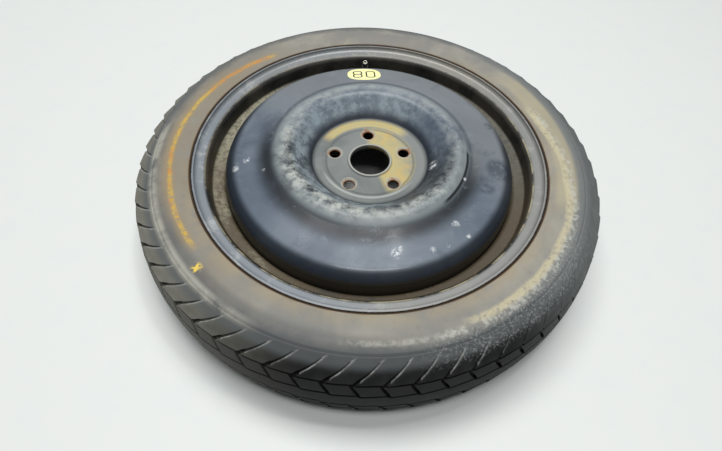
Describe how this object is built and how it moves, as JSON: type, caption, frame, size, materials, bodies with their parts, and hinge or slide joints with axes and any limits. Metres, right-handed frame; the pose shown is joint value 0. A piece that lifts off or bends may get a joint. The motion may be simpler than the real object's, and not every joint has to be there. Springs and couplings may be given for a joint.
{
  "type": "spare wheel",
  "caption": "Temporary spare wheel: a narrow tyre on a rolled steel rim with a pressed, hat-shaped steel disc, rubber inflation valve and oval sticker.",
  "frame": {"origin": "centre of the hub mounting face on the wheel axis", "axes": "+Z along the wheel axis towards the street side; the wheel lies on its inner sidewall"},
  "size_m": [0.6298, 0.6298, 0.1407],
  "materials": {
    "tyre_rubber": "dusty matt",
    "rim_paint": "worn satin",
    "disc_paint": "faded satin",
    "weld_steel": "rough",
    "sticker_film": "faded",
    "valve_rubber": "matt",
    "seal_rubber": "matt",
    "valve_brass": "dull",
    "spring_steel": "drawn"
  },
  "bodies": {
    "wheel": {"tyre": "tyre_rubber", "rim": "rim_paint", "wheel_disc": "disc_paint", "weld_beads": "weld_steel", "sticker": "sticker_film", "valve_rubber": "valve_rubber", "valve_stem": "valve_brass", "core_seal": "seal_rubber", "core_barrel": "valve_brass", "core_plug": "valve_brass", "core_spring": "spring_steel"},
    "valve_pin": {"core_pin": "valve_brass", "cup_washer": "seal_rubber"}
  },
  "joints": [
    {"name": "pin_press", "type": "slide", "parent": "wheel", "child": "valve_pin", "axis": [-0.0181, 0.2071, -0.9781], "range_m": [0, 0.0015], "stiffness_N_per_m": 2000, "deforming": ["core_spring"]}
  ]
}
